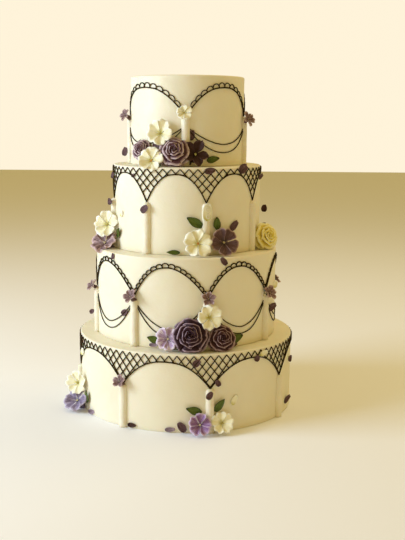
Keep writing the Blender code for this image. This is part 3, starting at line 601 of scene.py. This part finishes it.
def petal_finish(name, tones, vein, rim_start=0.80, drifting=0.25, lip=0.90, gloss=0.3, drift_to=2):
    """Sugar paste, tinted from the throat to the rim and at the sides, with fine streaks along it.

    Small patches drift toward the tone with the number drift_to.
    """
    tones = [(*tone, 1.0) for tone in tones]
    finish = Finish(name, 0.15, (1.0, 0.75, 0.6), 0.0015)
    finish.shader.inputs["Specular IOR Level"].default_value = gloss
    split = finish.tree.nodes.new("ShaderNodeSeparateXYZ")
    finish.tree.links.new(finish.place.outputs["UV"], split.inputs["Vector"])
    body = finish.ramp(
        split.outputs["Y"],
        ((0.10, tones[0]), (0.40, tones[1]), (rim_start, tones[1]), (1.0, tones[2])),
    )
    from_middle = finish.tree.nodes.new("ShaderNodeMath")
    from_middle.operation = "SUBTRACT"
    from_middle.inputs[1].default_value = 0.5
    finish.tree.links.new(split.outputs["X"], from_middle.inputs[0])
    aside = finish.tree.nodes.new("ShaderNodeMath")
    aside.operation = "ABSOLUTE"
    finish.tree.links.new(from_middle.outputs["Value"], aside.inputs[0])
    edged = finish.mix(finish.span(aside.outputs["Value"], 0.0, 0.8, lip / 2.0, 0.5), body, tones[2])
    veins = finish.noise(1.0, 3.0, "UV", (26.0, 2.2, 1.0))
    veined = finish.mix(finish.span(veins, 0.0, vein, 0.46, 0.64), edged, tones[3])
    drift = finish.noise(240.0, 3.0)
    finish.colour(finish.mix(finish.span(drift, 0.0, drifting, 0.4, 0.7), veined, tones[drift_to]))
    finish.roughness(300.0, 0.42, 0.62)
    finish.relief(((veins, 0.0003), (finish.noise(900.0), 0.00006)))
    return finish.made


petal_finishes = {
    "ivory": petal_finish("ivory_petal", IVORY, vein=0.25),
    "lilac": petal_finish("dusky_petal", DUSKY, vein=0.60, rim_start=0.75),
    "plum": petal_finish("wine_petal", WINE, vein=0.50, gloss=0.15),
    "dark": petal_finish("aubergine_petal", DARK, vein=0.40, gloss=0.12),
}
petal_order = list(petal_finishes)


def loose_shape(tier, azimuth, height, stand, length, width, heading, turn, dice):
    """Bends a petal over the wall, or lets it stand off the wall by the turn of its face."""
    cup = dice.uniform(0.0010, 0.0020)
    swing = math.radians(turn)
    spin = math.radians(heading)
    base = RADIUS[tier] + stand + width / 2.0 * abs(math.sin(swing)) * FLARE

    def shape(u, v):
        half = width / 2.0 * math.sin(math.pi * (0.05 + 0.87 * v ** 0.8)) ** 0.6
        x = u * half
        y = (v - 0.5) * length
        out = 0.0006 + cup * (u * u * 0.6 + (2.0 * v - 1.0) ** 2 * 0.5)
        side = x * math.cos(spin) + y * math.sin(spin)
        up = -x * math.sin(spin) + y * math.cos(spin)
        out, side = (
            out * math.cos(swing) - side * math.sin(swing),
            side * math.cos(swing) + out * math.sin(swing),
        )
        return wall_point(base + out, azimuth + math.degrees(side / base), FOOT[tier] + height + up)

    return shape


dice = random.Random(LOOSE_SEED)
for tier, node in enumerate(TIERS):
    bm = bmesh.new()
    bm.loops.layers.uv.new("petal")
    for row in PETALS + COLUMN_PETALS:
        if row[0] == tier:
            stand = COLUMN_RISE if row in COLUMN_PETALS else 0.0
            shape = loose_shape(tier, row[1], row[2], stand, *row[3:7], dice)
            petal(bm, shape, *LOOSE_GRID, finish=petal_order.index(row[7]))
    set_down("petals_" + node, bm, list(petal_finishes.values()), [node])


# The lace oval: curls of ivory icing piped flat, left to dry and then stuck over the top of the third
# tier's front column.
LACE_TIER = 2
LACE_PLACE = (14.5, 0.0600)
LACE_HALF = (0.0066, 0.0125)
LACE_LINE = 0.00055
LACE_OUT = COLUMN_RISE + 0.0022
LACE_BEND = 0.0016
# Each curl: its middle's height, its reach, both as shares of the oval's half, its first turn and its way.
LACE_CURLS = ((0.35, 0.62, -1.2, 1.0), (-0.42, 0.50, 1.9, -1.0))
LACE_STEPS = 36

lace = bpy.data.curves.new("lace", "CURVE")
lace.dimensions = "3D"
lace.bevel_depth = LACE_LINE
lace.bevel_resolution = 2
lace.use_fill_caps = True
lace_rim = [(math.cos(turn), math.sin(turn)) for turn in (math.tau * step / 32.0 for step in range(33))]
lace_curls = [lace_rim]
for middle, spread, first, way in LACE_CURLS:
    curl = []
    for step in range(LACE_STEPS + 1):
        reach = spread * (1.0 - 0.8 * step / LACE_STEPS)
        turn = first + way * 1.6 * math.tau * step / LACE_STEPS
        curl.append((reach * math.cos(turn), middle + reach * 0.62 * math.sin(turn)))
    lace_curls.append(curl)
for curl in lace_curls:
    line = lace.splines.new("POLY")
    line.points.add(len(curl) - 1)
    for point, (across, up) in zip(line.points, curl):
        azimuth = LACE_PLACE[0] + math.degrees(across * LACE_HALF[0] / RADIUS[LACE_TIER])
        out = RADIUS[LACE_TIER] + LACE_OUT - LACE_BEND * across * across
        place = wall_point(out, azimuth, FOOT[LACE_TIER] + LACE_PLACE[1] + up * LACE_HALF[1])
        point.co = (*place, 1.0)
lace_piece = bpy.data.objects.new("lace_oval", lace)
lace.materials.append(piped_icing.made)
bpy.context.scene.collection.objects.link(lace_piece)
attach(lace_piece, "root")
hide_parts(TIERS[LACE_TIER])


# Open blossoms: five broad petals of sugar paste round a short throat, set on a paste cone that is pushed
# into the icing. A few tiny beads make the middle.

# Each flower: node, colour, tier, azimuth, height above the tier's foot, diameter, how far it stands off
# the wall, and how far its face is lifted and turned in degrees.
BLOSSOMS = (
    ("blossom_top_low", "ivory", 3, -28.4, 0.0090, 0.0400, 0.0215, 22, 12),
    ("blossom_top_high", "ivory", 3, -24.3, 0.0455, 0.0400, 0.0088, 14, 10),
    ("blossom_top_dark", "dark", 3, 7.3, 0.0178, 0.0420, 0.0085, 22, 4),
    ("blossom_top_back", "ivory", 3, 138.0, 0.0200, 0.0370, 0.0095, 22, 0),
    ("blossom_third_ivory", "ivory", 2, 7.7, 0.0185, 0.0425, 0.0098, 20, -6),
    ("blossom_third_plum", "plum", 2, 26.2, 0.0185, 0.0420, 0.0100, 20, -14),
    ("blossom_third_left", "ivory", 2, -73.0, 0.0342, 0.0420, 0.0135, 14, 48),
    ("blossom_third_left_plum", "plum", 2, -71.5, 0.0090, 0.0460, 0.0175, 46, 40),
    ("blossom_third_back", "ivory", 2, 215.0, 0.0190, 0.0380, 0.0095, 22, -6),
    ("blossom_second_ivory", "ivory", 1, 13.0, 0.0465, 0.0385, 0.0092, 14, -4),
    ("blossom_second_lilac", "lilac", 1, -9.8, 0.0170, 0.0360, 0.0098, 22, 4),
    ("blossom_second_back", "ivory", 1, 184.5, 0.0190, 0.0370, 0.0095, 22, 4),
    ("blossom_foot_lilac", "lilac", 0, 6.9, 0.0152, 0.0355, 0.0098, 33, -4),
    ("blossom_foot_ivory", "ivory", 0, 17.4, 0.0155, 0.0350, 0.0092, 30, -8),
    ("blossom_foot_left", "ivory", 0, -69.2, 0.0400, 0.0370, 0.0112, 16, 38),
    ("blossom_foot_left_lilac", "lilac", 0, -67.2, 0.0158, 0.0410, 0.0135, 38, 36),
    ("blossom_foot_back", "ivory", 0, 143.0, 0.0160, 0.0345, 0.0095, 30, -4),
)
LILAC = ((0.07, 0.020, 0.08), (0.20, 0.075, 0.23), (0.74, 0.60, 0.78), (0.66, 0.52, 0.72))
STREAKED = ((0.10, 0.035, 0.13), (0.27, 0.13, 0.30), (0.80, 0.68, 0.80), (0.96, 0.90, 0.92))
SLATE = ((0.06, 0.045, 0.08), (0.15, 0.105, 0.19), (0.58, 0.52, 0.66), (0.50, 0.45, 0.58))
PLUM = ((0.018, 0.005, 0.005), (0.068, 0.021, 0.018), (0.46, 0.30, 0.26), (0.44, 0.28, 0.24))
VEINED = ((0.022, 0.006, 0.007), (0.10, 0.042, 0.046), (0.74, 0.54, 0.52), (0.55, 0.39, 0.38))
BLOSSOM_GRID = (16, 14)
BLOSSOM_SEED = 21
PETAL_LAP = 0.0003
BEAD = 0.032
CLEAR = 0.0006
ORANGE_HEARTS = ("blossom_top_low", "blossom_third_ivory")
# Blossoms with another finish than their colour's own.
ODD_BLOSSOMS = {
    "blossom_second_lilac": "streaked",
    "blossom_foot_left_lilac": "slate",
    "blossom_third_left_plum": "veined",
}
# The two tones of a flower's middle.
MIDDLE = {
    "orange": ((0.62, 0.20, 0.03, 1.0), (0.72, 0.38, 0.07, 1.0)),
    "ivory": ((0.40, 0.30, 0.05, 1.0), (0.62, 0.50, 0.12, 1.0)),
    "lilac": ((0.75, 0.62, 0.28, 1.0), (0.80, 0.70, 0.42, 1.0)),
    "plum": ((0.55, 0.42, 0.20, 1.0), (0.70, 0.60, 0.34, 1.0)),
    "dark": ((0.55, 0.50, 0.16, 1.0), (0.72, 0.66, 0.30, 1.0)),
}


def bead_finish(name, tones):
    finish = Finish(name, 0.2)
    finish.colour(finish.ramp(finish.noise(700.0), ((0.35, tones[0]), (0.65, tones[1]))))
    finish.roughness(500.0, 0.4, 0.6)
    finish.relief(((finish.noise(1400.0), 0.0001),))
    return finish.made


middle_finishes = {colour: bead_finish("middle_" + colour, tones) for colour, tones in MIDDLE.items()}
blossom_finishes = dict(
    petal_finishes,
    lilac=petal_finish("lilac_petal", LILAC, vein=0.45, drifting=0.08),
    plum=petal_finish("plum_petal", PLUM, vein=0.24, rim_start=0.88, drifting=0.04, lip=0.97, gloss=0.45),
    streaked=petal_finish("streaked_petal", STREAKED, vein=0.75, rim_start=0.72, drifting=0.15),
    slate=petal_finish("slate_petal", SLATE, vein=0.75, rim_start=0.78, drifting=0.20),
    veined=petal_finish("veined_petal", VEINED, vein=0.90),
)


def flower_matrix(tier, azimuth, height, stand, lift, turn):
    origin = wall_point(RADIUS[tier] + stand, azimuth, FOOT[tier] + height)
    swing = Matrix.Rotation(math.radians(turn), 4, "Y")
    raise_face = Matrix.Rotation(-math.radians(lift), 4, "X")
    return wall_frame(azimuth, origin) @ swing @ raise_face


def cone_back(target, size, reach):
    """The paste cone behind a flower, from under its petals to just inside the icing."""
    part = bmesh.new()
    bmesh.ops.create_cone(
        part, cap_ends=True, segments=20, radius1=size * 0.40, radius2=size * 0.16, depth=reach
    )
    layer = part.loops.layers.uv.new("petal")
    for face in part.faces:
        for loop in face.loops:
            loop[layer].uv = (0.5, 0.05 if loop.vert.co.z > 0.0 else 0.5)
    add_part(target, part, Matrix.Translation((0.0, 0.0, -reach / 2.0 - size * 0.10)))


def beads(target, size, height, dice, count=9):
    for number in range(count):
        part = bmesh.new()
        bmesh.ops.create_icosphere(part, subdivisions=1, radius=size * BEAD)
        for face in part.faces:
            face.material_index = 1
        ring = 0.0 if number == 0 else size * dice.uniform(0.035, 0.070)
        angle = number * 2.4
        up = height + dice.uniform(0.0, 0.03) * size
        place = (ring * math.cos(angle), ring * math.sin(angle), up)
        add_part(target, part, Matrix.Translation(place))


def rest_on_cake(bm, tier):
    """Bends whatever would sink into the wall or the ledge back to its surface."""
    ledge = FOOT[tier] + CLEAR
    for vert in bm.verts:
        across = math.hypot(vert.co.x, vert.co.y)
        near = RADIUS[tier] + CLEAR
        if across < near and vert.co.z < TOP[tier]:
            vert.co.x *= near / across
            vert.co.y *= near / across
        edge = RADIUS[tier - 1] if tier else math.inf
        if vert.co.z < ledge and math.hypot(vert.co.x, vert.co.y) < edge:
            vert.co.z = ledge


def blossom_petal(size, heart, phase, dice, pointed):
    reach = dice.uniform(0.88, 1.0)
    lift = dice.uniform(-0.11, 0.10)
    wave = dice.uniform(0.0, 6.0)
    fold = dice.uniform(-0.06, 0.18)

    def shape(u, v):
        if pointed:
            spread = 0.16 + 0.52 * math.sin(math.pi * min(1.0, 0.10 + 0.90 * v)) ** 0.8
            outline = reach * (1.0 - 0.05 * u * u)
        else:
            spread = 0.48 + 0.17 * min(1.0, v * 2.0)
            outline = reach * (1.0 - 0.22 * abs(u) ** 3.0 - 0.07 * math.exp(-18.0 * u * u))
            outline += 0.020 * math.sin(9.0 * u + 2.0 * wave) * v
        radius = size * (0.06 + (outline - 0.06) * v)
        angle = phase + u * spread
        height = -0.14 + 0.20 * v ** 0.7 + (0.14 + lift) * v ** 2.2
        height += 0.10 * u * u * v - fold * u * v * (1.0 - 0.4 * v) - 0.05 * math.exp(-30.0 * u * u) * v
        height += 0.065 * math.sin(5.6 * u + wave) * v ** 2.5 - 0.08 * max(0.0, v - 0.86) / 0.14
        return Vector((radius * math.cos(angle), radius * math.sin(angle), size * height + heart))

    return shape


dice = random.Random(BLOSSOM_SEED)
for node, colour, tier, azimuth, height, diameter, stand, lift, turn in BLOSSOMS:
    size = diameter / 2.0
    bm = bmesh.new()
    bm.loops.layers.uv.new("petal")
    start = dice.uniform(0.0, 1.2)
    pointed = colour == "dark"
    for number in range(5):
        phase = start + math.tau * number / 5.0 + dice.uniform(-0.10, 0.10)
        shape = blossom_petal(size, PETAL_LAP * (number % 2), phase, dice, pointed)
        petal(bm, shape, *BLOSSOM_GRID)
    cone_back(bm, size, stand + 0.002)
    beads(bm, size, -0.06 * size, dice)
    facing = flower_matrix(tier, azimuth, height, stand, lift, turn)
    bmesh.ops.transform(bm, matrix=facing, verts=bm.verts)
    rest_on_cake(bm, tier)
    heart = "orange" if node in ORANGE_HEARTS else colour
    tone = ODD_BLOSSOMS.get(node, colour)
    finishes = [blossom_finishes[tone], middle_finishes[heart]]
    set_down("sugar_" + node, bm, finishes, [node])


# Roses: a tight bud of rolled paste with rings of thin petals round it, each petal rolled back at its lip.
# The dark throats are painted shade and the pale lips a painted highlight on the rolled edges.
ROSES = (
    ("rose_top", "plum", 3, -11.0, 0.0215, 0.0430, 0.0125, 26, 4),
    ("rosebud_top", "plum", 3, -44.5, 0.0225, 0.0290, 0.0092, 24, 16),
    ("rose_top_back", "plum", 3, 163.0, 0.0205, 0.0380, 0.0115, 26, 6),
    ("rose_third_right", "ivory", 2, 71.5, 0.0190, 0.0400, 0.0155, 20, -34),
    ("rose_third_back", "plum", 2, 196.0, 0.0200, 0.0375, 0.0115, 24, 0),
    ("rose_second_dark", "dark", 1, 2.3, 0.0230, 0.0475, 0.0145, 22, -4),
    ("rose_second_plum", "plum", 1, 19.9, 0.0170, 0.0375, 0.0125, 24, -4),
    ("rose_second_back", "dark", 1, 168.0, 0.0225, 0.0430, 0.0140, 22, -4),
    ("rose_foot_back", "plum", 0, 156.0, 0.0175, 0.0345, 0.0115, 26, 4),
)
# Rose tones: throat (painted shade deep in the rose), body, rim (painted highlight on the lips), streaks.
ROSE_TONES = {
    "plum": ((0.020, 0.006, 0.009), (0.082, 0.030, 0.036), (0.88, 0.70, 0.69), (0.24, 0.12, 0.13)),
    "wine": ((0.014, 0.004, 0.004), (0.046, 0.014, 0.015), (0.62, 0.43, 0.42), (0.12, 0.045, 0.045)),
    "dark": ((0.008, 0.002, 0.004), (0.027, 0.007, 0.012), (0.60, 0.43, 0.49), (0.08, 0.035, 0.042)),
    "ivory": ((0.30, 0.19, 0.02), (0.86, 0.70, 0.14), (1.0, 0.97, 0.68), (0.50, 0.38, 0.07)),
}
# Where the painted highlight of the lip begins along each petal, as a share of its length.
ROSE_LIP_HIGHLIGHT = {"plum": 0.88, "wine": 0.92, "dark": 0.93, "ivory": 0.84}
WINE_ROSES = ("rose_second_plum", "rose_foot_back")
# Rings of petals: how many, radius and height of the lip as shares of the rose's radius, and half spread.
ROSE_RINGS = (
    (3, 0.12, 0.38, 1.15),
    (3, 0.28, 0.42, 1.10),
    (4, 0.48, 0.39, 0.92),
    (5, 0.71, 0.29, 0.78),
    (6, 1.00, 0.05, 0.66),
    (5, 1.10, -0.25, 0.70),
)
ROSE_GRID = (12, 8)
ROSE_SEED = 33

# The rose finishes paint shade into the throats and a highlight onto the lips.
rose_finishes = {}
for name, tones in ROSE_TONES.items():
    rose_finishes[name] = petal_finish(
        "rose_" + name,
        tones,
        vein=0.30,
        rim_start=ROSE_LIP_HIGHLIGHT[name],
        drifting=0.50,
        lip=0.97,
        gloss=0.15,
        drift_to=1,
    )


def rose_petal(size, ring, lip, spread, phase, dice):
    wave = dice.uniform(0.0, 6.0)
    reach = ring * dice.uniform(0.93, 1.0)
    dip = dice.uniform(0.08, 0.24)

    def shape(u, v):
        base = 0.30 * reach
        radius = base + (reach - base) * (0.35 * v + 0.65 * v ** 3)
        radius += 0.065 * u * (1.0 - 0.3 * v) + 0.028 * math.sin(5.0 * u + 2.0 * wave) * v
        foot = -0.22
        height = foot + (lip - foot) * (1.0 - (1.0 - v) ** 1.7)
        height -= dip * abs(u) ** 2.5 * v + 0.05 * max(0.0, v - 0.88) / 0.12
        height += 0.022 * math.sin(5.0 * u + wave) * v
        angle = phase + u * spread
        return Vector((radius * math.cos(angle), radius * math.sin(angle), height)) * size

    return shape


dice = random.Random(ROSE_SEED)
for node, colour, tier, azimuth, height, diameter, stand, lift, turn in ROSES:
    size = diameter / 2.0
    bm = bmesh.new()
    bm.loops.layers.uv.new("petal")
    for level, (count, ring, lip, spread) in enumerate(ROSE_RINGS):
        for number in range(count):
            phase = level * 0.9 + math.tau * number / count + dice.uniform(-0.16, 0.16)
            petal(bm, rose_petal(size, ring, lip, spread, phase, dice), *ROSE_GRID)
    # The cone behind the rose takes the throat tone, painted shade seen between the petals.
    cone_back(bm, size * 1.3, stand + 0.002)
    facing = flower_matrix(tier, azimuth, height, stand, lift, turn)
    bmesh.ops.transform(bm, matrix=facing, verts=bm.verts)
    rest_on_cake(bm, tier)
    tone = "wine" if node in WINE_ROSES else colour
    set_down("sugar_" + node, bm, [rose_finishes[tone]], [node])


# Posies: small star flowers of paste with narrow petals, pushed over the tops of the columns, where they
# hide the ends of the piped lines.
POSIES = (
    ("posy_top_front", "ivory", 3, -2.5, 0.0735, 0.0240, 0.0098, 26, 0),
    ("posy_top_left", "plum", 3, -82.5, 0.0700, 0.0205, 0.0088, 26, 30),
    ("posy_top_right", "plum", 3, 74.5, 0.0655, 0.0240, 0.0088, 26, -25),
    ("posy_top_back", "plum", 3, 173.0, 0.0720, 0.0205, 0.0088, 28, 0),
    ("posy_second_front", "plum", 1, 12.4, 0.0725, 0.0225, 0.0092, 30, -6),
    ("posy_second_front_left", "plum", 1, -32.8, 0.0715, 0.0225, 0.0090, 40, -10),
    ("posy_second_right", "plum", 1, 57.3, 0.0695, 0.0230, 0.0090, 34, -20),
    ("posy_second_left", "plum", 1, -78.3, 0.0700, 0.0205, 0.0088, 32, 20),
    ("posy_second_back_right", "plum", 1, 102.7, 0.0710, 0.0205, 0.0088, 32, 0),
    ("posy_second_back_mid", "plum", 1, 147.7, 0.0710, 0.0215, 0.0088, 32, 0),
    ("posy_second_back_left", "plum", 1, 237.7, 0.0710, 0.0205, 0.0088, 32, 0),
    ("posy_foot_front_left", "plum", 0, -32.8, 0.0670, 0.0210, 0.0090, 34, 0),
)
MAUVE = ((0.06, 0.026, 0.025), (0.15, 0.078, 0.074), (0.64, 0.48, 0.46), (0.46, 0.32, 0.31))
POSY_GRID = (8, 8)
POSY_BEADS = 5
POSY_SEED = 44

mauve_petal = petal_finish("mauve_petal", MAUVE, vein=0.40, rim_start=0.70, drifting=0.15)

dice = random.Random(POSY_SEED)
for node, colour, tier, azimuth, height, diameter, stand, lift, turn in POSIES:
    size = diameter / 2.0
    bm = bmesh.new()
    bm.loops.layers.uv.new("petal")
    start = dice.uniform(0.0, 1.2)
    pointed = colour == "plum"
    for number in range(5):
        phase = start + math.tau * number / 5.0 + dice.uniform(-0.12, 0.12)
        petal(bm, blossom_petal(size, 0.0, phase, dice, pointed), *POSY_GRID)
    cone_back(bm, size, stand + 0.001)
    beads(bm, size, -0.04 * size, dice, POSY_BEADS)
    facing = flower_matrix(tier, azimuth, height, stand, lift, turn)
    bmesh.ops.transform(bm, matrix=facing, verts=bm.verts)
    rest_on_cake(bm, tier)
    finishes = [petal_finishes["ivory"], middle_finishes["orange"]]
    if pointed:
        finishes = [mauve_petal, middle_finishes["plum"]]
    set_down("sugar_" + node, bm, finishes, [node])


# Leaves: thin green paste cut to a point, creased along the midrib and bent a little away from the wall.
# They are stuck on beside the flowers.

# Each leaf: node, tier, azimuth and height of its base, length, width and heading in degrees.
LEAVES = (
    ("leaf_top_right", 3, 19.3, 0.0080, 0.0165, 0.0095, 76),
    ("leaf_top_back", 3, 122.0, 0.0110, 0.0190, 0.0105, -62),
    ("leaf_third_high", 2, 11.4, 0.0400, 0.0245, 0.0125, -58),
    ("leaf_third_right", 2, 23.0, 0.0360, 0.0170, 0.0110, -10),
    ("leaf_third_left", 2, -66.0, 0.0170, 0.0180, 0.0110, 42),
    ("leaf_third_ledge", 2, -4.6, 0.0045, 0.0175, 0.0070, -88),
    ("leaf_second_left", 1, -15.8, 0.0105, 0.0170, 0.0105, -70),
    ("leaf_second_right", 1, 28.0, 0.0085, 0.0180, 0.0120, 62),
    ("leaf_second_back", 1, 196.5, 0.0150, 0.0190, 0.0105, 55),
    ("leaf_foot_left_low", 0, 8.0, 0.0290, 0.0220, 0.0115, -70),
    ("leaf_foot_right_high", 0, 14.6, 0.0300, 0.0215, 0.0110, 34),
    ("leaf_foot_left", 0, -62.5, 0.0135, 0.0210, 0.0120, 10),
    ("leaf_foot_back", 0, 136.0, 0.0290, 0.0200, 0.0105, -48),
)
LEAF_THICK = 0.0007
LEAF_GRID = (10, 14)
LEAF_TONES = ((0.040, 0.070, 0.008), (0.080, 0.125, 0.013), (0.016, 0.024, 0.004), (0.25, 0.29, 0.07))

leaf_finish = petal_finish(
    "leaf_paste", LEAF_TONES, vein=0.45, rim_start=0.86, drifting=0.12, lip=0.72, gloss=0.2
)


def leaf_shape(tier, azimuth, height, length, width, heading):
    turn = math.radians(heading)
    radius = RADIUS[tier]

    def shape(u, v):
        taper = math.sin(math.pi * min(1.0, 0.04 + 0.96 * v)) ** 0.75 * (1.15 - 0.4 * v)
        half = width / 2.0 * max(0.04, taper)
        x = u * half
        y = v * length
        out = 0.0014 + 0.0013 * abs(u) + 0.0004 * math.sin(v * 9.0) * u + 0.0030 * v * v
        side = x * math.cos(turn) + y * math.sin(turn)
        up = -x * math.sin(turn) + y * math.cos(turn)
        return wall_point(radius + out, azimuth + math.degrees(side / radius), FOOT[tier] + height + up)

    return shape


for node, tier, azimuth, height, length, width, heading in LEAVES:
    bm = bmesh.new()
    bm.loops.layers.uv.new("petal")
    petal(bm, leaf_shape(tier, azimuth, height, length, width, heading), *LEAF_GRID, LEAF_THICK)
    rest_on_cake(bm, tier)
    set_down("sugar_" + node, bm, [leaf_finish], [node])
